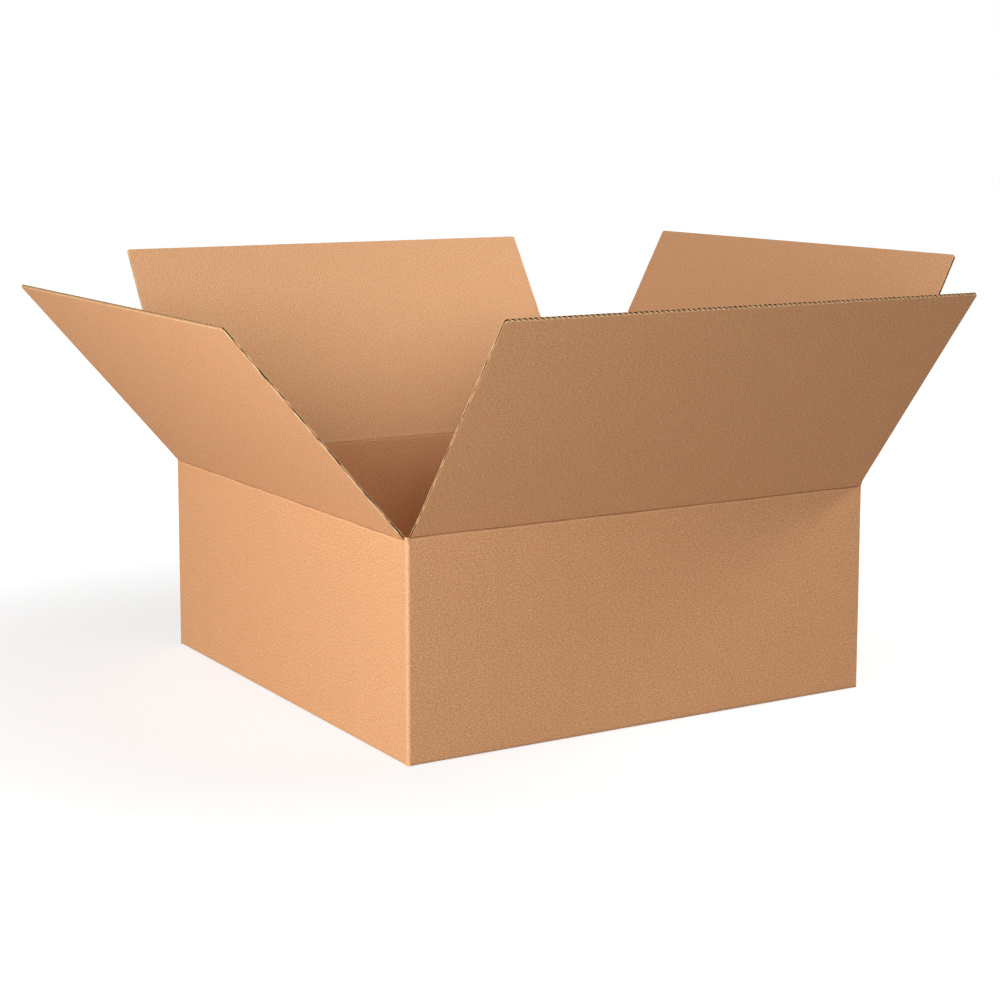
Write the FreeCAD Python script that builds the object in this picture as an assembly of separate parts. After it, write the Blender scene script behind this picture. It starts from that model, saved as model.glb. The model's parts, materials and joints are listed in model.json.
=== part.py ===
import FreeCAD, Part
import math
import os

# Open shipping box of corrugated board, square in plan, standing on its closed bottom.
# X runs along the front wall, Y from the front wall to the back wall, Z up.
# The origin is the middle of the bottom, on the surface that the box stands on.

# Sizes of the box, in millimetres
inside_side = 736.6  # clear width and depth between the walls
fold_height = 295.0  # from the floor to the top folds, halfway between the two kinds of flap

# The board: two liners with a zigzag medium between them
board = 4.0
liner = 0.45
medium = 0.35
flute_pitch = 7.8

# Folds
fold_inner_radius = 1.0  # on the inside of the four upright folds
bottom_inner_radius = 1.0
ramp_length = 15.0  # the inner bottom flaps climb on to the outer ones over this length
ramp_root = 1.5  # height of the ramp's top above the board's own thickness, at the wall

# Slots and gaps
slot_rise = 3.0  # the slots end this far above the height of the folds
slot_clearance = 0.5  # between a corner's post and the edge of a flap
flap_side_trim = 0.5  # more that is cut off each side of a flap
bottom_seam = 0.5  # where two bottom flaps meet
top_seam = 1.5  # where two top flaps meet when they are closed
closed_gap = 0.2  # between the inner and the outer pair of top flaps when they are closed
hinge_gap = 0.45  # from the fold's axis to the board on each side of it
crease_band = 3.0  # board with its flutes pressed shut, next to the fold

# The glued lap inside the back right corner
lap_width = 35.0
lap_taper = 8.0
lap_end_gap = 1.0
raw_edge_gap = 0.5  # the right wall's cut edge lies this far inside the back wall's face

cut_overrun = 1.0  # how far a cutter reaches past the face that it opens

# How far each top flap leans outward from upright, in degrees
front_lean = 37.9
left_lean = 41.0
back_lean = 33.9
right_lean = 27.8

half_side = inside_side / 2 + board
fold_outer_radius = fold_inner_radius + board
bottom_outer_radius = bottom_inner_radius + board
post = fold_outer_radius + slot_clearance  # length of wall beside each corner that has no flap
slot_edge = half_side - post  # half of a wall's length between its two posts
post_height = fold_height + slot_rise - bottom_inner_radius
flap_half_width = slot_edge - flap_side_trim
flap_length = half_side - top_seam / 2

# The outer pair of flaps (front and back) folds one board higher than the inner pair
fold_step = board + closed_gap
outer_pair_fold = fold_height + fold_step / 2
inner_pair_fold = fold_height - fold_step / 2

# The walls in their order round the box, a quarter turn apart: height of its top fold, lean of its flap
walls = {
    "front": (outer_pair_fold, front_lean),
    "right": (inner_pair_fold, right_lean),
    "back": (outer_pair_fold, back_lean),
    "left": (inner_pair_fold, left_lean),
}

X_AXIS = FreeCAD.Vector(1, 0, 0)
Z_AXIS = FreeCAD.Vector(0, 0, 1)
ORIGIN = FreeCAD.Vector(0, 0, 0)


def line(start, end):
    return Part.LineSegment(FreeCAD.Vector(*start), FreeCAD.Vector(*end)).toShape()


def arc(start, middle, end):
    return Part.Arc(*(FreeCAD.Vector(*p) for p in (start, middle, end))).toShape()


def bulge(centre, radius, angle_deg):
    """The point on a circle at an angle from its first axis, in the circle's own plane."""
    angle = math.radians(angle_deg)
    return centre[0] + radius * math.cos(angle), centre[1] + radius * math.sin(angle)


def prism(edges, direction):
    """A solid whose section is the closed outline of these edges."""
    return Part.Face(Part.Wire(edges)).extrude(FreeCAD.Vector(*direction))


def polygon_prism(points, direction):
    corners = [FreeCAD.Vector(*p) for p in points]
    return Part.Face(Part.makePolygon(corners + corners[:1])).extrude(FreeCAD.Vector(*direction))


def on_wall(shape, number):
    """The shape turned from the front wall, number 0, to another wall."""
    return shape.rotated(ORIGIN, Z_AXIS, 90 * number)


def wall_strip(fold, layer_edges):
    """A wall with its bottom flap: one bent strip of board along X, as the front wall lies.

    layer_edges gives the bottom flap's outline from its far end to the wall and back again.
    """
    upper = [
        line(at_wall(0, bottom_outer_radius), at_wall(0, fold - hinge_gap)),
        line(at_wall(0, fold - hinge_gap), at_wall(board, fold - hinge_gap - board)),
    ]
    below, above = layer_edges
    inner_foot = above[0].Vertexes[0].Point
    top = at_wall(board, fold - hinge_gap - board)
    inner_face = line(top, tuple(inner_foot))
    return prism(below + upper + [inner_face] + above, (2 * slot_edge, 0, 0))


def at_wall(inward, height):
    """The point this far inside the front wall's outer face, at the strip's left end."""
    return -slot_edge, -half_side + inward, height


def bottom_fold_arc():
    r = bottom_outer_radius
    return arc(at_wall(r, 0), at_wall(*bulge((r, r), r, 225)), at_wall(0, r))


def outer_layer():
    """The bottom flap of the front or back wall: it lies flat on the floor."""
    end = half_side - bottom_seam / 2
    r = bottom_inner_radius
    below = [line(at_wall(end, 0), at_wall(bottom_outer_radius, 0)), bottom_fold_arc()]
    corner = board + r
    above = [
        arc(at_wall(board, corner), at_wall(*bulge((corner, corner), r, 225)), at_wall(corner, board)),
        line(at_wall(corner, board), at_wall(end, board)),
        line(at_wall(end, board), at_wall(end, 0)),
    ]
    return below, above


def inner_layer():
    """The bottom flap of the left or right wall: it climbs on to the outer flaps."""
    end = half_side - bottom_seam / 2
    ramp_end = bottom_outer_radius + ramp_length
    below = [
        line(at_wall(end, board), at_wall(ramp_end, board)),
        line(at_wall(ramp_end, board), at_wall(bottom_outer_radius, 0)),
        bottom_fold_arc(),
    ]
    above = [
        line(at_wall(board, board + ramp_root), at_wall(ramp_end, 2 * board)),
        line(at_wall(ramp_end, 2 * board), at_wall(end, 2 * board)),
        line(at_wall(end, 2 * board), at_wall(end, board)),
    ]
    return below, above


def corner_post():
    """The upright fold at the front left corner, between the slots that part the flaps."""
    def at_corner(a, b):
        return -half_side + a, -half_side + b, bottom_inner_radius

    outer, inner, inside = fold_outer_radius, fold_inner_radius, board + fold_inner_radius
    section = [
        line(at_corner(post, 0), at_corner(outer, 0)),
        arc(at_corner(outer, 0), at_corner(*bulge((outer, outer), outer, 225)), at_corner(0, outer)),
        line(at_corner(0, outer), at_corner(0, post)),
        line(at_corner(0, post), at_corner(board, post)),
        line(at_corner(board, post), at_corner(board, inside)),
        arc(
            at_corner(board, inside),
            at_corner(*bulge((inside, inside), inner, 225)),
            at_corner(inside, board),
        ),
        line(at_corner(inside, board), at_corner(post, board)),
        line(at_corner(post, board), at_corner(post, 0)),
    ]
    return prism(section, (0, 0, post_height))


def glued_lap():
    """The lap that the back wall folds inside the right wall, glued to it, with tapered ends."""
    x = half_side - 2 * board
    root = half_side - board / 2
    tip = half_side - lap_width
    low = 2 * board + lap_end_gap
    high = inner_pair_fold - board - hinge_gap - lap_end_gap
    outline = [(x, root, low), (x, tip, low + lap_taper), (x, tip, high - lap_taper), (x, root, high)]
    return polygon_prism(outline, (board, 0, 0))


def raw_end():
    """The square end of the right wall, which stands beside the fold of the glued lap."""
    end = Part.makeBox(board, post, post_height)
    end.translate(FreeCAD.Vector(half_side - board, half_side - post, bottom_inner_radius))
    return end


def joint_corner_cutters():
    """What is missing at the glued corner: the groove between the lap's fold and the wall's cut edge."""
    height = fold_height + slot_rise + 2 * board
    root = half_side - board
    r = fold_outer_radius
    around_fold = [(0, -board), (0, r), bulge((r, r), r, 225), (r, 0), (r, -board)]
    groove = polygon_prism([(root - a, half_side - b, -board) for a, b in around_fold], (0, 0, height))
    beyond_edge = Part.makeBox(2 * board, board, height)
    beyond_edge.translate(FreeCAD.Vector(root, half_side - raw_edge_gap, -board))
    return [groove, beyond_edge]


def box_body():
    """Walls, upright folds, glued lap and the closed bottom, all one folded sheet."""
    pieces = []
    for number, (name, (fold, _)) in enumerate(walls.items()):
        layer = outer_layer() if name in ("front", "back") else inner_layer()
        pieces.append(on_wall(wall_strip(fold, layer), number))
        pieces.append(on_wall(corner_post(), number))
    pieces += [glued_lap(), raw_end()]
    body = pieces[0].multiFuse(pieces[1:])
    return body.cut(joint_corner_cutters()).removeSplitter()


def flute_tunnels(width, length):
    """The triangular tunnels on both sides of the medium, open at the flap's free edge.

    The medium rises from the outer liner to the inner one and back once in each pitch, so
    tunnels on the outer side stand on its crests and those on the inner side on its troughs.
    A trough lies on each side edge of the flap, which leaves a half tunnel open there.
    """
    count = round(width / flute_pitch)
    pitch = width / count
    rise = board - 2 * liner
    slope = rise / (pitch / 2)
    shift = medium / 2 / math.sin(math.atan(slope))
    reach = pitch / 2 - shift
    start = hinge_gap + board + crease_band
    run = (0, 0, length - start + cut_overrun)
    tunnels = []
    for number in range(2 * count + 1):
        middle = -width / 2 + number * pitch / 2
        crest = number % 2 == 1
        base = liner if crest else board - liner
        tip = base + reach * slope * (1 if crest else -1)
        corners = [(middle - reach, base, start), (middle + reach, base, start), (middle, tip, start)]
        tunnels.append(polygon_prism(corners, run))
    return tunnels


def top_flap():
    """A top flap as it stands upright on the front wall, its fold's axis along X at the origin."""
    left = -flap_half_width
    outline = [
        (left, 0, hinge_gap),
        (left, board, hinge_gap + board),
        (left, board, flap_length),
        (left, 0, flap_length),
    ]
    slab = polygon_prism(outline, (2 * flap_half_width, 0, 0))
    return slab.cut(flute_tunnels(2 * flap_half_width, flap_length))


def save(shape, node):
    solids = shape.Solids
    assert len(solids) == 1 and shape.isValid(), node
    solids[0].exportStep(os.path.join("parts", node + ".step"))


os.makedirs("parts", exist_ok=True)
save(box_body(), "box_body")
upright_flap = top_flap()
for number, (wall, (fold, lean)) in enumerate(walls.items()):
    leaning = upright_flap.rotated(ORIGIN, X_AXIS, lean)
    leaning.translate(FreeCAD.Vector(0, -half_side, fold))
    save(on_wall(leaning, number), wall + "_flap")
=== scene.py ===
import json
import math

import bpy
import numpy as np
from mathutils import Matrix, Vector


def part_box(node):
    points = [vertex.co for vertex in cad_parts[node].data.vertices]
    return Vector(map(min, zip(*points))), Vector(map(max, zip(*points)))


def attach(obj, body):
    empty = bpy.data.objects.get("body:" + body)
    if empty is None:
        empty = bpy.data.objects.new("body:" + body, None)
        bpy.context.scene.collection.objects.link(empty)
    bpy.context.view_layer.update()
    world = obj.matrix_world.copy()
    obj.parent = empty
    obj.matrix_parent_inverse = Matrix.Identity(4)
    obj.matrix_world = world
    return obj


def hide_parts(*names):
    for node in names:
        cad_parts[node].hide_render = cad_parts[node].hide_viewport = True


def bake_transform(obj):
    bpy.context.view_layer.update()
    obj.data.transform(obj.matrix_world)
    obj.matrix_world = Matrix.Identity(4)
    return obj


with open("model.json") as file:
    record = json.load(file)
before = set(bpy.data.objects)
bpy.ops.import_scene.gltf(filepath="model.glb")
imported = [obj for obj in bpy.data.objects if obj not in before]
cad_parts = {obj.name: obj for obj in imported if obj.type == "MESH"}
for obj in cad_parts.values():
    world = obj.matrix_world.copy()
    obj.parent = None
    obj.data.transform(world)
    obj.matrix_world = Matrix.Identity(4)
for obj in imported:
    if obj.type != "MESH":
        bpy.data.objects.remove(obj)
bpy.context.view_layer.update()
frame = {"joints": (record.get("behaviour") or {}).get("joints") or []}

# The folded sheet
# One blank of single-wall kraft board, scored and slotted, makes the walls, the closed bottom and the lap
# that is glued inside one corner. A point of the blank is known by its distance along the blank, its height
# and its depth in the board, and it keeps those three numbers as the attribute that all the finishes read.
board = 0.004
half_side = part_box("box_body")[1].x
slot_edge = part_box("front_flap")[1].x
folds = {joint["child"].removesuffix("_flap"): joint for joint in frame["joints"]}
outer_fold = folds["front"]["pos_m"][2]
inner_fold = folds["left"]["pos_m"][2]
post_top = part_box("box_body")[1].z
post_foot = 0.001
fold_radius = 0.005
bottom_radius = 0.005
bend_end = bottom_radius * (1 - math.pi / 2)  # height in the blank where a bottom flap starts to lie flat
bottom_seam = 0.0005
ramp_length = 0.015
slot_cut = 0.0003
raw_edge_gap = 0.0005
glue_line = 0.00005
lap_width = 0.035
lap_end_gap, hinge_gap = 0.001, 0.0005
lap_low, lap_high = 2 * board + lap_end_gap, inner_fold - board - hinge_gap - lap_end_gap
lap_taper = 0.008
crease_reach = 0.012
bead_height, bead_drop, bead_width = 0.0003, 0.0020, 0.0012
valley_depth, valley_rise, valley_width = 0.0008, 0.0005, 0.0010
stretch_rise, stretch_width, score_shade_width = 0.0028, 0.0014, 0.0007
fold_band_width = 0.0022
# Strengths of the fold colours: the bead's and the upright folds' lightening is partly wear and partly
# painted highlight, the valleys' darkening is painted shade.
bead_wear_and_highlight, valley_shade, inner_wear_and_shade, upright_wear_and_highlight, bottom_wear = 0.3, 0.9, 0.4, 0.35, 0.3
wall_cells, corner_cells, lap_cells = 60, 9, 8  # the sheet's cells across each of these

order = ("right", "front", "left", "back", "lap")
lap_number = order.index("lap")
panel_pitch = 2 * (half_side - fold_radius) + fold_radius * math.pi / 2
panel_middle = {name: half_side - raw_edge_gap + n * panel_pitch for n, name in enumerate(order)}


def smooth(x):
    """0 below 0, 1 above 1, and three squares less two cubes between."""
    x = np.clip(x, 0, 1)
    return x * x * (3 - 2 * x)


def bell(x, width):
    """1 at 0, falling by the square of x over the width, as e to its negative."""
    return np.exp(-((x / width) ** 2))


def wander(x, seed, longest, waves=5):
    """A gentle uneven line through x, about -1 to 1.

    It is a sum of sines at random shifts, each shorter and lower than the last one by a fixed factor.
    """
    shortening, fading, tallest = 1.9, 0.62, 1.8
    draws = np.random.default_rng(seed)
    total = np.zeros_like(x)
    for octave in range(waves):
        wave = longest / shortening**octave
        total += fading**octave * np.sin(2 * math.pi * (x / wave + draws.random()))
    return total / tallest


def turned(degrees):
    """The direction in plan at an angle from +X."""
    return np.array([math.cos(math.radians(degrees)), math.sin(math.radians(degrees))])


def blank_lines():
    """The lines across the blank, in walking order round the box.

    Straight stretches lie on each wall's outer face at a distance from its middle, and between two walls
    the line's foot runs a quarter circle. Returned per line: foot in plan, direction inward, distance
    along the blank, wall number, and whether the line belongs to a panel that has a bottom flap.
    """
    feet, inward, along, wall, flapped = [], [], [], [], []
    corner = half_side - fold_radius
    for number, name in enumerate(order):
        outward = turned(-90 * number)
        onward = turned(-90 * number - 90)
        first = raw_edge_gap - half_side if name == "right" else -corner
        last = corner - board if name == "back" else corner
        beside_flap = slot_edge + slot_cut
        under_flap = np.linspace(-slot_edge, slot_edge, wall_cells + 1)
        across = [first, -beside_flap, *under_flap, beside_flap, last]
        if name == "back":
            across = [*(q for q in across if q < last), last]
        if name == "lap":
            across = np.linspace(-corner, lap_width - half_side, lap_cells + 1)
        face = half_side - board - glue_line if name == "lap" else half_side
        for q in across:
            feet.append(outward * face + onward * q)
            inward.append(-outward)
            along.append(panel_middle[name] + q)
            wall.append(number)
            flapped.append(name != "lap" and abs(q) < slot_edge + slot_cut / 2)
        if name != "lap":
            centre = feet[-1] - outward * fold_radius
            for share in np.linspace(0, 1, corner_cells + 1)[1:-1]:
                radius = turned(-90 * (number + share))
                feet.append(centre + radius * fold_radius)
                inward.append(-radius)
                along.append(panel_middle[name] + last + share * fold_radius * math.pi / 2)
                wall.append(number + share)
                flapped.append(False)
    return np.array(feet), np.array(inward), np.array(along), np.array(wall), np.array(flapped)


def fold_under(height, depth, climb):
    """Distance inward and up of a point of a panel whose bottom flap is folded under.

    Above the fold it stands at its height. Through the fold it turns a quarter circle about a centre one
    radius in and one radius up. Past the fold it lies flat, and climbs by the given step over the ramp.
    """
    turn = np.clip((bottom_radius - height) / bottom_radius, 0, math.pi / 2)
    past = np.maximum(bend_end - height, 0)
    inward = bottom_radius - (bottom_radius - depth) * np.cos(turn) + past
    up = bottom_radius + np.maximum(height - bottom_radius, 0) - (bottom_radius - depth) * np.sin(turn)
    return inward, up + climb * smooth(past / ramp_length)


def sheet(outer, inner, flat, present=None, finish=(0, 1, 2)):
    """A closed sheet between two grids of points: its outer face, its inner face and its cut edges.

    Each cell that is present gives one face on each side, and an edge face wherever the next cell is
    absent. The grids' first direction crossed with their second points from the outer to the inner face.
    The three finishes are numbers, and those of the two faces may also differ from cell to cell.
    """
    n, m = outer.shape[:2]
    present = np.ones((n - 1, m - 1), bool) if present is None else present
    number = np.arange(2 * n * m).reshape(2, n, m)
    padded = np.pad(present, 1)
    quads, kinds = [], []

    def add(mask, corners, kind):
        i, j = np.nonzero(mask)
        quads.append(np.stack([number[side, i + a, j + b] for side, a, b in corners], 1))
        kinds.append(np.broadcast_to(kind, mask.shape)[i, j])

    add(present, ((0, 0, 0), (0, 0, 1), (0, 1, 1), (0, 1, 0)), finish[0])
    add(present, ((1, 0, 0), (1, 1, 0), (1, 1, 1), (1, 0, 1)), finish[1])
    add(present & ~padded[2:, 1:-1], ((0, 1, 0), (0, 1, 1), (1, 1, 1), (1, 1, 0)), finish[2])
    add(present & ~padded[:-2, 1:-1], ((0, 0, 1), (0, 0, 0), (1, 0, 0), (1, 0, 1)), finish[2])
    add(present & ~padded[1:-1, 2:], ((0, 1, 1), (0, 0, 1), (1, 0, 1), (1, 1, 1)), finish[2])
    add(present & ~padded[1:-1, :-2], ((0, 0, 0), (0, 1, 0), (1, 1, 0), (1, 0, 0)), finish[2])
    points = np.stack([outer, inner]).reshape(-1, 3)
    return points, flat.reshape(-1, 3), np.concatenate(quads), np.concatenate(kinds)


def fold_wear_and_painted_light(flat):
    """Lighter and darker colour along the folds: up to 1 where a fold is lighter, down to -1 where darker.

    The lightening is partly the real whitening of paper that a fold stretched and partly a painted
    highlight on the bead and the round upright folds, where light catches them. The darkening is painted
    shade in the valleys of the creases. An upright or bottom fold adds a bell curve round its line, outside
    only. A top fold adds one on the bead below its line and takes one away in the valley. Inside, the
    valley is on the line itself and the stretched strip is above it.
    """
    along, height, depth = flat.T
    inside = depth / board
    number = np.round((along - panel_middle["right"]) / panel_pitch)
    from_upright = panel_pitch / 2 - np.abs(along - panel_middle["right"] - number * panel_pitch)
    from_top = height - np.where(number % 2 == 0, inner_fold, outer_fold)
    from_bottom = height - bottom_radius * (1 - math.pi / 4)
    on_bead = bead_wear_and_highlight * bell(from_top + bead_drop, bead_width)
    in_valley = valley_shade * bell(from_top - valley_rise, valley_width)
    on_upright = upright_wear_and_highlight * bell(from_upright, fold_band_width)
    on_bottom = bottom_wear * bell(from_bottom, fold_band_width)
    stretched = bell(from_top - stretch_rise, stretch_width)
    score_shade = bell(from_top, score_shade_width)
    outside = on_upright + on_bottom + on_bead - in_valley
    return outside * (1 - inside) + inner_wear_and_shade * (stretched - score_shade) * inside


def make_piece(name, sheets, finishes):
    """One object from closed sheets, smooth where the paper bends and sharp at its cut edges."""
    sharp_angle = math.radians(40)
    starts = np.cumsum([0] + [len(points) for points, *_ in sheets])
    points = np.concatenate([points for points, *_ in sheets])
    flat = np.concatenate([flat for _, flat, *_ in sheets])
    quads = np.concatenate([quads + start for (*_, quads, _), start in zip(sheets, starts)])
    kinds = np.concatenate([kinds for *_, kinds in sheets])
    used, quads = np.unique(quads, return_inverse=True)
    quads = quads.reshape(-1, 4)
    mesh = bpy.data.meshes.new(name)
    mesh.vertices.add(len(used))
    mesh.vertices.foreach_set("co", points[used].astype(np.float32).ravel())
    mesh.loops.add(quads.size)
    mesh.loops.foreach_set("vertex_index", quads.astype(np.int32).ravel())
    mesh.polygons.add(len(quads))
    mesh.polygons.foreach_set("loop_start", np.arange(0, quads.size, 4, dtype=np.int32))
    mesh.polygons.foreach_set("material_index", kinds.astype(np.int32))
    mesh.polygons.foreach_set("use_smooth", np.ones(len(quads), bool))
    mesh.update(calc_edges=True)
    mesh.validate()
    place_in_blank = mesh.attributes.new("blank", "FLOAT_VECTOR", "POINT")
    place_in_blank.data.foreach_set("vector", flat[used].astype(np.float32).ravel())
    wear_and_painted_light = mesh.attributes.new("wear_and_painted_light", "FLOAT", "POINT")
    wear_and_painted_light.data.foreach_set("value", fold_wear_and_painted_light(flat[used]).astype(np.float32))
    mesh.set_sharp_from_angle(angle=sharp_angle)
    for finish in finishes:
        mesh.materials.append(finish)
    piece = bpy.data.objects.new(name, mesh)
    bpy.context.scene.collection.objects.link(piece)
    return piece


def paint(red, green, blue):
    """A colour as a swatch book gives it, 0 to 255, in the linear values that the shaders read."""
    share = np.array([red, green, blue]) / 255
    return (*np.where(share > 0.04045, ((share + 0.055) / 1.055) ** 2.4, share / 12.92), 1.0)


def add_node(tree, kind, inputs=(), **settings):
    """A node with its settings, and its inputs by name or number: a socket is linked, a value is set."""
    made = tree.nodes.new(kind)
    for key, value in settings.items():
        setattr(made, key, value)
    for key, value in dict(inputs).items():
        if isinstance(value, bpy.types.NodeSocket):
            tree.links.new(value, made.inputs[key])
        else:
            made.inputs[key].default_value = value
    return made


def arithmetic(tree, operation, *values, clamp=False):
    """The result of one math node."""
    made = add_node(tree, "ShaderNodeMath", dict(enumerate(values)), operation=operation, use_clamp=clamp)
    return made.outputs[0]


def new_group(name, puts_out):
    """A node group that takes the place in the blank and puts out the named values."""
    group = bpy.data.node_groups.new(name, "ShaderNodeTree")
    group.interface.new_socket("Blank", in_out="INPUT", socket_type="NodeSocketVector")
    for output in puts_out:
        group.interface.new_socket(output, in_out="OUTPUT", socket_type="NodeSocketFloat")
    return group, add_node(group, "NodeGroupInput").outputs["Blank"], add_node(group, "NodeGroupOutput")


def noise(tree, place, scale, detail=2.0, roughness=0.5):
    """Noise whose cells are stretched by a scale for each direction of the blank, per metre."""
    spread = add_node(tree, "ShaderNodeMapping", {"Vector": place, "Scale": scale})
    made = add_node(
        tree,
        "ShaderNodeTexNoise",
        {"Vector": spread.outputs[0], "Scale": 1.0, "Detail": detail, "Roughness": roughness},
    )
    return made.outputs[0]


def kraft_paper_group():
    """Tone, specks and relief of kraft paper.

    Tone is a half plus the shares of long fibres, fine grain and wide clouds above their mean. Fibres lie
    along the blank, across the flutes. Specks are the few cells of a cell pattern that drew a high number.
    """
    group, blank, out = new_group("kraft paper", ("Tone", "Speck", "Relief"))
    fibres = noise(group, blank, (260, 1200, 2500), detail=3.0, roughness=0.6)
    grain = noise(group, blank, (520, 600, 2500), roughness=0.6)
    clumps = noise(group, blank, (240, 330, 2500), roughness=0.6)
    clouds = noise(group, blank, (22, 30, 400))
    tone = 0.5
    for share, value in ((1.1, fibres), (2.2, grain), (0.4, clumps), (0.08, clouds)):
        tone = arithmetic(group, "MULTIPLY_ADD", arithmetic(group, "SUBTRACT", value, 0.5), share, tone)
    spread = add_node(group, "ShaderNodeMapping", {"Vector": blank, "Scale": (330, 520, 900)})
    cells = add_node(group, "ShaderNodeTexVoronoi", {"Vector": spread.outputs[0], "Scale": 1.0})
    drawn = add_node(group, "ShaderNodeSeparateColor", {"Color": cells.outputs["Color"]})
    speck_reach, speckless_share = 0.32, 0.965
    near = arithmetic(group, "LESS_THAN", cells.outputs["Distance"], speck_reach)
    chosen = arithmetic(group, "GREATER_THAN", drawn.outputs[0], speckless_share)
    speck = arithmetic(group, "MULTIPLY", near, chosen)
    relief = arithmetic(group, "ADD", fibres, grain)
    for output, value in (("Tone", tone), ("Speck", speck), ("Relief", relief)):
        group.links.new(value, out.inputs[output])
    return group


flute_count = 94  # in the width of a flap
flute_pitch = 2 * slot_edge / flute_count
liner = 0.00045
medium = 0.00035
swing = (board - 2 * liner - medium) / 2  # how far the medium's line runs from the board's middle
drawn_medium = 0.8 * medium  # half its width on a drawn cut edge, a little bolder than the real one


def flute_group():
    """How the flutes show: as faint waves in a liner, and as holes in a cut edge.

    Wave is the cosine of the distance along the blank over one flute. Solid is 1 in the two liners and
    close to the medium's wavy line, and 0 in the holes between, which the cut board paints dark as their
    shade.
    """
    group, blank, out = new_group("flutes", ("Wave", "Solid"))
    parts = add_node(group, "ShaderNodeSeparateXYZ", {"Vector": blank})
    turns = arithmetic(group, "MULTIPLY", parts.outputs[0], 2 * math.pi / flute_pitch)
    wave = arithmetic(group, "COSINE", turns)
    middle = arithmetic(group, "MULTIPLY_ADD", wave, swing, board / 2)
    from_medium = arithmetic(group, "ABSOLUTE", arithmetic(group, "SUBTRACT", parts.outputs[2], middle))
    from_middle = arithmetic(group, "ABSOLUTE", arithmetic(group, "SUBTRACT", parts.outputs[2], board / 2))
    in_medium = arithmetic(group, "LESS_THAN", from_medium, drawn_medium)
    in_liner = arithmetic(group, "GREATER_THAN", from_middle, board / 2 - liner)
    group.links.new(wave, out.inputs["Wave"])
    group.links.new(arithmetic(group, "MAXIMUM", in_medium, in_liner), out.inputs["Solid"])
    return group


kraft_paper = kraft_paper_group()
flutes = flute_group()


def placed(tree, group, blank):
    """A node that uses a group on the place in the blank."""
    made = add_node(tree, "ShaderNodeGroup", node_tree=group)
    tree.links.new(blank, made.inputs[0])
    return made.outputs


def mixed(tree, factor, first, second):
    """A colour between two by a factor."""
    made = add_node(tree, "ShaderNodeMix", {0: factor, 6: first, 7: second}, data_type="RGBA")
    return made.outputs[2]


def paper(name, light, dark, speck, wave_height=0.0, gloss=0.12, painted_hole_shade=None, fold_colours=None):
    """A paper of the board: its colour runs from dark to light with the tone, broken by specks.

    The relief and, where it shows, the flutes' wave are raised by a bump. On a cut edge the holes between
    the flutes take the colour that is given for them, a painted shade of the deep holes. A liner has two
    more
    colours along the folds: a lighter one, partly for stretched paper and partly a painted highlight, and a
    darker one, painted shade in the creases' valleys.
    """
    speck_strength, stretch_and_highlight_share, crease_shade_share = 0.3, 0.55, -0.75
    bump_strength, bump_distance, roughness = 0.35, 0.00012, 0.82
    made = bpy.data.materials.new(name)
    made.use_nodes = True
    tree = made.node_tree
    shader = tree.nodes["Principled BSDF"]
    blank = add_node(tree, "ShaderNodeAttribute", attribute_name="blank").outputs["Vector"]
    fibre = placed(tree, kraft_paper, blank)
    flute = placed(tree, flutes, blank)
    colour = mixed(tree, arithmetic(tree, "ADD", fibre["Tone"], 0.0, clamp=True), dark, light)
    colour = mixed(tree, arithmetic(tree, "MULTIPLY", fibre["Speck"], speck_strength), colour, speck)
    # Along the folds the colour turns lighter, partly for stretched paper and partly as a painted
    # highlight, and darker as painted shade in the creases' valleys.
    if fold_colours:
        wear_and_painted_light = add_node(tree, "ShaderNodeAttribute", attribute_name="wear_and_painted_light").outputs["Fac"]
        for share, fold_colour in zip((stretch_and_highlight_share, crease_shade_share), fold_colours):
            amount = arithmetic(tree, "MULTIPLY", wear_and_painted_light, share, clamp=True)
            colour = mixed(tree, amount, colour, fold_colour)
    # The holes of a cut edge take a dark colour: painted shade of the open flutes.
    if painted_hole_shade:
        colour = mixed(tree, flute["Solid"], painted_hole_shade, colour)
    height = arithmetic(tree, "MULTIPLY_ADD", flute["Wave"], wave_height, fibre["Relief"])
    relief = {"Strength": bump_strength, "Distance": bump_distance, "Height": height}
    bump = add_node(tree, "ShaderNodeBump", relief)
    tree.links.new(colour, shader.inputs["Base Color"])
    tree.links.new(bump.outputs[0], shader.inputs["Normal"])
    shader.inputs["Roughness"].default_value = roughness
    shader.inputs["Specular IOR Level"].default_value = gloss
    return made


# The two fold colours: the light one is partly stretched paper and partly a painted highlight, the dark one
# is painted shade in the creases' valleys.
at_folds = (paint(250, 208, 164), paint(134, 90, 58))
outer_liner = paper(
    "outer liner",
    paint(240, 184, 138),
    paint(179, 124, 80),
    paint(128, 84, 52),
    wave_height=0.35,
    fold_colours=at_folds,
)
inner_liner = paper(
    "inner liner",
    paint(250, 199, 153),
    paint(197, 142, 97),
    paint(136, 90, 56),
    wave_height=0.35,
    fold_colours=at_folds,
)
flute_medium = paper(
    "flute medium", paint(232, 184, 136), paint(196, 146, 100), paint(110, 74, 48), gloss=0
)
# Painted shade: this dark colour stands in for the shade deep in the flutes, on the liners' sides that face
# them.
painted_flute_shade = paper("painted shade of the flutes", paint(60, 28, 11), paint(38, 16, 6), paint(32, 14, 6), gloss=0)
# Pale paper of the cut edges, torn lips and rubbed strips; on the rubbed strips it is partly a painted
# highlight.
cut_edge = paper("cut edge", paint(255, 220, 176), paint(238, 192, 144), paint(160, 106, 66), gloss=0)
# On the body's cut edges the flutes' holes are painted dark, as their shade.
cut_board = paper(
    "cut board",
    paint(236, 186, 138),
    paint(202, 150, 102),
    paint(120, 76, 46),
    gloss=0,
    painted_hole_shade=paint(60, 28, 10),
)


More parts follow.
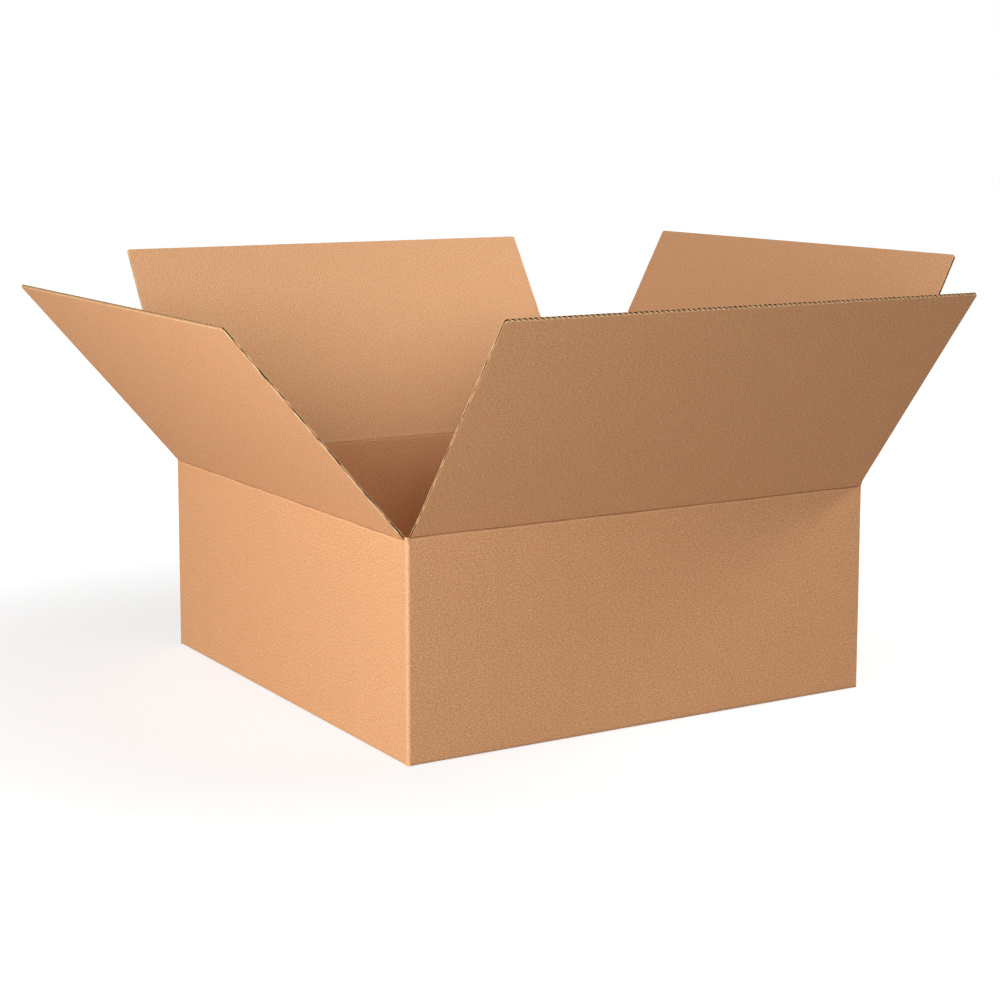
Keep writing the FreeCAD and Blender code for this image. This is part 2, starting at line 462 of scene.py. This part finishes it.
def folded_blank():
    """The blank's grid of lines and heights, folded up.

    A point lies at its line's foot in plan, moved inward by what fold_under gives, or by its depth on a
    line that has no bottom flap. The lap's height narrows evenly by its taper. Cells are left out where
    the slots are cut, beside the lap, and at the scored strips, which are pieces of their own.
    """
    feet, inward, along, wall, flapped = blank_lines()
    flap_end = bottom_radius * (2 - math.pi / 2) - half_side + bottom_seam / 2
    ramp_end = bend_end - ramp_length
    on_bottom = np.linspace(flap_end, ramp_end, 12)
    on_ramp = np.linspace(ramp_end, bend_end, 7)
    round_fold = np.linspace(bend_end, bottom_radius, 9)
    on_wall = np.linspace(bottom_radius, inner_fold - crease_reach, 16)
    single_lines = [post_foot, lap_low, lap_high, outer_fold - crease_reach, post_top]
    # Rounded, so that a line on which two stretches meet counts once
    heights = np.unique(np.concatenate([on_bottom, on_ramp, round_fold, on_wall, single_lines]).round(7))
    up_lines = heights[None, :]
    climb = np.where(wall % 2 == 0, board + glue_line, 0)[:, None]
    lap_share = np.clip((along - along[wall < lap_number][-1]) / lap_width, 0, 1)[:, None]
    lap_middle = (lap_low + lap_high) / 2
    lap_squeeze = 1 - 2 * lap_taper * lap_share / (lap_high - lap_low)
    faces, flat = [], []
    for depth in (0.0, board):
        under, up = fold_under(up_lines, depth, climb)
        under = np.where(flapped[:, None], under, depth)
        up = np.where(flapped[:, None], up, up_lines)
        up = np.where(wall[:, None] == lap_number, lap_middle + (up - lap_middle) * lap_squeeze, up)
        plan = feet[:, None] + inward[:, None] * under[..., None]
        faces.append(np.dstack([plan, up]))
        here = np.broadcast_arrays(along[:, None], up_lines, depth)
        flat.append(np.dstack(here))
    cell_height = (heights[1:] + heights[:-1])[None, :] / 2
    cell_flapped = (flapped[1:] & flapped[:-1])[:, None]
    beside_flap = (flapped[1:] ^ flapped[:-1])[:, None]
    cell_lap = (wall[:-1] == lap_number)[:, None]
    fold = np.where(wall[:-1] % 2 == 0, inner_fold, outer_fold)[:, None] - crease_reach
    in_post = (cell_height > post_foot) & (cell_height < post_top)
    present = np.where(cell_flapped, cell_height < fold, in_post)
    present &= ~beside_flap | (cell_height > bottom_radius)
    present &= ~cell_lap | ((cell_height > lap_low) & (cell_height < lap_high))
    return sheet(*faces, np.stack(flat), present)


box_body = make_piece("folded_sheet", [folded_blank()], (outer_liner, inner_liner, cut_board))
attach(box_body, "box_body")
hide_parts("box_body")


# The top folds
# Where a top flap meets its wall the board is scored: the press crushed the flutes, which leaves a valley
# inside and a low bead outside. The strip is made bent to the flap's lean at rest and is not attached.
bend_reach = 0.003
score_depth = 0.0009
score_width = 0.0018
line_drift, drift_wave = 0.0005, 0.19
press_unevenness, press_wave = 0.35, 0.05
crease_lines, coarse_rows, fine_rows = 281, 9, 40


class Wall:
    """A wall's top fold: the middle of its axis, its three directions and the flap's lean at rest."""

    def __init__(self, name):
        joint = folds[name]
        self.name = name
        self.hinge = np.array(joint["pos_m"], float)
        self.axis = np.array(joint["axis"], float)
        self.upward = np.array([0.0, 0.0, 1.0])
        self.outward = np.cross(self.axis, self.upward)
        self.lean = math.radians(-joint["range_deg"][0] - 90)
        self.middle = panel_middle[name]

    def place(self, across, up, depth, bend):
        """Where a point of the flap lies when it is bent outward about the fold's axis by an angle.

        Upright it is across along the wall, up above the axis and depth inside it. The angle turns up
        towards outward, and inward towards up.
        """
        across, up, depth, bend = np.broadcast_arrays(across, up, depth, bend)
        up, out = up * np.cos(bend) + depth * np.sin(bend), up * np.sin(bend) - depth * np.cos(bend)
        along = -across[..., None] * self.axis
        return self.hinge + along + up[..., None] * self.upward + out[..., None] * self.outward

    def flat(self, across, up, depth):
        """The place in the blank of the same point."""
        return np.stack(np.broadcast_arrays(self.middle + across, self.hinge[2] + up, depth), -1)


def crease(wall, seed):
    """The scored strip across a fold.

    Its bend grows smoothly from none to the flap's lean. The inner face sinks by a bell curve along the
    score, and the outer one has a bead below the axis and a narrow valley above it. The score's line
    drifts a little along the fold, and the bead and the valley are now stronger, now weaker.
    """
    across = np.linspace(-slot_edge, slot_edge, crease_lines)[:, None]
    coarse, fine = np.linspace(-1, 1, coarse_rows), np.linspace(-1, 1, fine_rows) / 2
    up = np.unique(np.r_[coarse, fine] * crease_reach)[None, :]
    line = up - line_drift * wander(across, seed, drift_wave) * bell(up, crease_reach / 2)
    strength = 1 + press_unevenness * wander(across, seed + 1, press_wave)
    bead = bead_height * bell(line + bead_drop, bead_width)
    outer_depth = strength * (valley_depth * bell(line - valley_rise, valley_width) - bead)
    inner_depth = board - score_depth * bell(line, score_width)
    bend = wall.lean * smooth((up + bend_reach) / (2 * bend_reach))
    faces = [wall.place(across, up, depth, bend) for depth in (outer_depth, inner_depth)]
    flat = [wall.flat(across, line, depth) for depth in (0.0, board)]
    return sheet(*faces, np.stack(flat))


walls = [Wall(name) for name in folds]
for number, wall in enumerate(walls):
    papers = (outer_liner, inner_liner, cut_board)
    strip = make_piece(wall.name + "_fold", [crease(wall, 10 * number)], papers)
    halfway = wall.place(0.0, bend_reach, 0.0, wall.lean / 2) - wall.hinge
    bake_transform(strip)


# The top flaps
# Each is a plain panel of the same board, cut on three sides: two liners glued to the crests of a fluted
# medium. The flutes run up the flap, so its free edge shows their ends and its side edges one open flute.
top_seam = 0.0015
flap_length = half_side - top_seam / 2
hair = 0.0002  # how far a cut wanders
scuff = 0.0008  # width of the strip that handling rubbed beside a cut; its pale is partly painted highlight
scuff_depth = 0.0003
rubbed_and_highlight_from, torn_from = 0.5, 0.2  # what free_of_fold gives where the pale rubbed strip and the torn lip begin
torn_lip = 0.0009
outer_short = 0.0011  # how far the outer liner ends below the inner one
torn_short = 0.0003
burr_height = 0.0008
burr_reach = 0.0006
burr_share = 0.6
burr_outside = ("left", "right")
pinch_depth = 0.0006
pinch_reach = 0.005
pinch_unevenness = 0.3
corner_cut = 0.0016
edge_flute = flute_pitch / 2
drawn_back_least, drawn_back_more = 0.0012, 0.0014
tear_overshoot = 1.3
end_wave, side_wave, pinch_wave = 0.05, 0.04, 0.08  # the longest wave of each unevenness
burr_wave, draw_wave, tear_wave = 0.05, 0.035, 0.07
cut_lines = scuff * np.array([1.5, 1.0, 0.5, 0.0])  # how far inside a cut a layer's last lines lie
pinch_lines = pinch_reach * np.array([1.0, 0.75, 0.5])
liner_lines, liner_rows = 141, 40
flute_cells, medium_rows = 12, 10
torn_lines, torn_rows = 7, 150
outer_paper, inner_paper, fluted_paper, pale_paper, shaded_paper = range(5)  # the finishes of a flap


def ragged(x, seed, wave):
    """How far a cut lies inside its line: a wandering amount from none to a hair."""
    return hair * (1 + np.clip(wander(x, seed, wave, waves=8), -1, 1)) / 2


def cut_to_size(across, rows, short, seed):
    """Where a layer of the flap is cut off, and the heights of its rows.

    The free end wanders by a hair, and each free corner is rounded by the blow of the slotting knife. The
    rows are even, with four close together at the end, in and beside the scuffed strip.
    """
    end = flap_length - short - ragged(across, seed, end_wave)
    end = end - corner_cut * smooth((np.abs(across) - slot_edge + 2 * corner_cut) / (2 * corner_cut))
    share = np.linspace(0, 1, rows)[None, :-1]
    even = crease_reach + share * (end - cut_lines[0] - crease_reach)
    return end, np.hstack([even, end - cut_lines])


def free_of_fold(up):
    """0 where the scored strip ends and 1 from twice that height up, with a smooth step between."""
    return smooth((up - crease_reach) / crease_reach)


def pinch(across, up, seed):
    """How much thinner the slotting knife pressed the board: most at the slot, nothing a little in."""
    strength = pinch_depth * (1 + pinch_unevenness * wander(up, seed, pinch_wave))
    return strength * free_of_fold(up) * (1 - smooth((slot_edge - np.abs(across)) / pinch_reach))


def flap_liner(wall, inner, seed, pinch_seed):
    """One of the flap's two liners: a flat sheet whose outer edges are rubbed round by handling, and pale
    partly from the rubbing and partly as a painted highlight on the rounded edge.

    Its sides wander by a hair too. The rubbed strip sinks by the square of how far it lies into the scuff.
    On the side of the flutes the knife left a pale lip of torn fibres, and the rest is painted dark as the
    flutes' shade.
    One of a flap's two liners has a burr at the slots, which swells by a bell curve towards the flutes.
    """
    near_side = slot_edge - np.r_[cut_lines, pinch_lines]
    even = np.linspace(-slot_edge, slot_edge, liner_lines)
    across = np.unique(np.r_[even, near_side, -near_side])[:, None]
    end, up = cut_to_size(across, liner_rows, 0.0 if inner else outer_short, seed)
    free = free_of_fold(up)
    from_cut = np.minimum(end - up, slot_edge - np.abs(across))
    sunk = scuff_depth * free * np.clip(1 - from_cut / scuff, 0, 1) ** 2
    burred = inner != (wall.name in burr_outside)
    uneven = np.clip(burr_share + wander(up, seed + 3, burr_wave, waves=7), 0, 1) * burred
    burr = burr_height * free * uneven * bell(slot_edge - np.abs(across), burr_reach)

    cell = (from_cut[1:, 1:] + from_cut[:-1, :-1]) / 2
    from_side = slot_edge - np.abs(across[1:] + across[:-1]) / 2
    # The rubbed strip takes the pale finish, partly for worn fibres and partly as a painted highlight where
    # the rounded edge catches light.
    rubbed_and_highlight = np.where(from_side < scuff, uneven[1:, 1:] > 0.5, cell < scuff / 2) & (cell < scuff)
    rubbed_and_highlight &= free[1:, 1:] > rubbed_and_highlight_from
    torn = (from_side < torn_lip) & (free[1:, 1:] > torn_from)
    # Each liner's side that faces the flutes takes the flutes' painted shade, all but the torn lip.
    if inner:
        thinner = pinch(across, up, pinch_seed)
        depths = (board - liner - thinner - burr, board - sunk - thinner)
        finish = (np.where(torn, pale_paper, shaded_paper), np.where(rubbed_and_highlight, pale_paper, inner_paper))
    else:
        depths = (sunk, liner + burr)
        finish = (np.where(rubbed_and_highlight, pale_paper, outer_paper), np.where(torn, pale_paper, shaded_paper))
    across = across * (1 - free * ragged(up, seed + 1, side_wave) / slot_edge)
    faces = [wall.place(across, up, depth, wall.lean) for depth in depths]
    flat = [wall.flat(across, up, depth) for depth in depths]
    return sheet(*faces, np.stack(flat), finish=(*finish, pale_paper))


def flute_wave(wall, across):
    """The medium's line from the board's middle: a cosine of the place along the blank, once a flute."""
    return swing * np.cos(2 * math.pi * (wall.middle + across) / flute_pitch)


def medium_sheet(wall, across, up, line):
    """A sheet of the medium's thickness, half on each side of its line."""
    depths = (line - medium / 2, line + medium / 2)
    faces = [wall.place(across, up, depth, wall.lean) for depth in depths]
    flat = [wall.flat(across, up, depth) for depth in depths]
    return sheet(*faces, np.stack(flat), finish=(fluted_paper, fluted_paper, pale_paper))


def flap_medium(wall, seed):
    """The fluted medium, a cosine line across the flap, all but the half flute at each side."""
    reach = slot_edge - edge_flute
    across = np.linspace(-reach, reach, flute_cells * (flute_count - 1) + 1)[:, None]
    _, up = cut_to_size(across, medium_rows, 0.0, seed)
    return medium_sheet(wall, across, up, board / 2 + flute_wave(wall, across))


def torn_flute(wall, side, seed, pinch_seed):
    """The half flute at a side of the flap, which the slotting knife tore.

    Its edge draws back by a wandering amount. The medium's line leaves the cosine by the square of the
    share that is passed towards the edge, and wanders there between the two liners.
    """
    share = np.linspace(0, 1, torn_lines)[::side, None]
    start = slot_edge - edge_flute
    _, up = cut_to_size(side * (start + share * edge_flute), torn_rows, torn_short, seed)
    uneven = np.clip(wander(up, seed + 1, draw_wave, waves=7), 0, 1)
    drawn_back = drawn_back_least + drawn_back_more * uneven
    across = side * (start + share * (edge_flute - drawn_back))
    torn = tear_overshoot * swing * wander(up, seed + 2, tear_wave, waves=7)
    line = flute_wave(wall, across) * (1 - share**2) + torn * share**2
    line = board / 2 + np.clip(line, -swing, swing)
    line = np.minimum(line, board - liner - medium / 2 - pinch(across, up, pinch_seed))
    return medium_sheet(wall, across, up, line)


for number, wall in enumerate(walls):
    seed = 100 + 10 * number
    layers = [
        flap_liner(wall, False, seed, seed),
        flap_liner(wall, True, seed + 2, seed),
        flap_medium(wall, seed + 4),
        torn_flute(wall, 1, seed + 5, seed),
        torn_flute(wall, -1, seed + 6, seed),
    ]
    papers = (outer_liner, inner_liner, flute_medium, cut_edge, painted_flute_shade)
    panel = make_piece(wall.name + "_flap_board", layers, papers)
    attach(panel, wall.name + "_flap")
    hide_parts(wall.name + "_flap")


# The studio
# A pale floor under soft lamps. The floor and the world are white to the camera, and the floor keeps the
# shadow of the box.
def floor():
    """A level square, far larger than the box and a little below it."""
    reach, height = 30.0, -0.0003
    corners = [(x * reach, y * reach, height) for x, y in ((-1, -1), (1, -1), (1, 1), (-1, 1))]
    mesh = bpy.data.meshes.new("floor")
    mesh.from_pydata(corners, [], [(0, 1, 2, 3)])
    made = bpy.data.objects.new("floor", mesh)
    bpy.context.scene.collection.objects.link(made)
    return made


def floor_paint():
    """Pale paint that glows white to the camera, least near the box, where its shadow lies.

    It is clear from below and to the light of the lamps, so that one below it can light the underside.
    """
    dimmer_within, full_beyond, least_glow = 0.6, 1.5, 0.7
    made = bpy.data.materials.new("floor paint")
    made.use_nodes = True
    tree = made.node_tree
    shader = tree.nodes["Principled BSDF"]
    shader.inputs["Base Color"].default_value = paint(165, 165, 165)
    shader.inputs["Roughness"].default_value = 1.0
    shader.inputs["Specular IOR Level"].default_value = 0.0
    shader.inputs["Emission Color"].default_value = (1, 1, 1, 1)
    rays = add_node(tree, "ShaderNodeLightPath")
    seen = arithmetic(tree, "MAXIMUM", rays.outputs["Is Camera Ray"], rays.outputs["Is Glossy Ray"])
    place = add_node(tree, "ShaderNodeTexCoord").outputs["Object"]
    distance = add_node(tree, "ShaderNodeVectorMath", {0: place}, operation="LENGTH").outputs["Value"]
    glow = add_node(
        tree,
        "ShaderNodeMapRange",
        {"Value": distance, "From Min": dimmer_within, "From Max": full_beyond, "To Min": least_glow},
        interpolation_type="SMOOTHSTEP",
    )
    strength = arithmetic(tree, "MULTIPLY", seen, glow.outputs["Result"])
    tree.links.new(strength, shader.inputs["Emission Strength"])
    out = tree.nodes["Material Output"]
    behind = add_node(tree, "ShaderNodeNewGeometry").outputs["Backfacing"]
    behind = arithmetic(tree, "MAXIMUM", behind, rays.outputs["Is Shadow Ray"])
    clear = add_node(tree, "ShaderNodeBsdfTransparent").outputs[0]
    both = add_node(tree, "ShaderNodeMixShader", {0: behind, 1: shader.outputs[0], 2: clear})
    tree.links.new(both.outputs[0], out.inputs[0])
    return made


ground = floor()
ground.data.materials.append(floor_paint())

world = bpy.data.worlds.new("studio")
bpy.context.scene.world = world
world.use_nodes = True
studio = world.node_tree
rays = add_node(studio, "ShaderNodeLightPath")
seen = arithmetic(studio, "MAXIMUM", rays.outputs["Is Camera Ray"], rays.outputs["Is Glossy Ray"])
ambient = 0.02
dim, white = (ambient, ambient, ambient, 1), (1, 1, 1, 1)
studio.links.new(mixed(studio, seen, dim, white), studio.nodes["Background"].inputs[0])

aim_height = 0.3


def softbox(name, azimuth, elevation, distance, size, power, spread=180):
    """A square lamp that looks at the middle of the box, from a distance and at two angles in degrees.

    Azimuth 0 stands before the front wall and 90 on its right. The camera doesn't see the lamp.
    """
    azimuth, elevation = math.radians(azimuth), math.radians(elevation)
    level = math.cos(elevation)
    away = Vector((math.sin(azimuth) * level, -math.cos(azimuth) * level, math.sin(elevation)))
    lamp = bpy.data.lights.new(name, "AREA")
    lamp.size = size
    lamp.energy = power
    lamp.spread = math.radians(spread)
    made = bpy.data.objects.new(name, lamp)
    made.location = Vector((0, 0, aim_height)) + away * distance
    made.rotation_euler = away.to_track_quat("Z", "Y").to_euler()
    made.visible_camera = False
    bpy.context.scene.collection.objects.link(made)


# Azimuth and elevation in degrees, distance and size in metres, power in watts
softbox("key lamp", -62, 16, 4.5, 1.5, 106)
softbox("low left lamp", -85, 4, 3.0, 1.0, 26)
softbox("low front lamp", -35, 5, 3.2, 1.0, 24)
softbox("near front lamp", -45, 0, 1.7, 0.5, 1.8)
softbox("high right lamp", 63, 38, 3.0, 0.7, 27)
softbox("right lamp", 80, 30, 3.0, 1.0, 37)
softbox("near right lamp", 57, 27.5, 1.73, 0.4, 2)
softbox("back lamp", 180, 12, 4.0, 1.5, 28)
softbox("lamp below the floor", 0, -90, 0.6, 0.74, 0.25, spread=10)

# The camera
# It stands where the photograph was taken from: place, angles and lens come from a fit to the corners of
# the box. Its frame lies a tenth of its width below the line of sight.
camera_place = (-1.634605, -2.68982, 0.82954)
camera_yaw, camera_pitch, camera_roll = (math.radians(angle) for angle in (31.12, -7.70, 0.08))
camera_data = bpy.data.cameras.new("camera")
camera_data.sensor_width = 36
camera_data.lens = 76.896
camera_data.shift_y = -0.1
camera_data.clip_end = 100
camera = bpy.data.objects.new("camera", camera_data)
bpy.context.scene.collection.objects.link(camera)
turn = Matrix.Rotation(-camera_yaw, 4, "Z") @ Matrix.Rotation(math.pi / 2 + camera_pitch, 4, "X")
camera.matrix_world = Matrix.Translation(camera_place) @ turn @ Matrix.Rotation(camera_roll, 4, "Z")
bpy.context.scene.camera = camera

bpy.context.scene.view_settings.view_transform = "Standard"
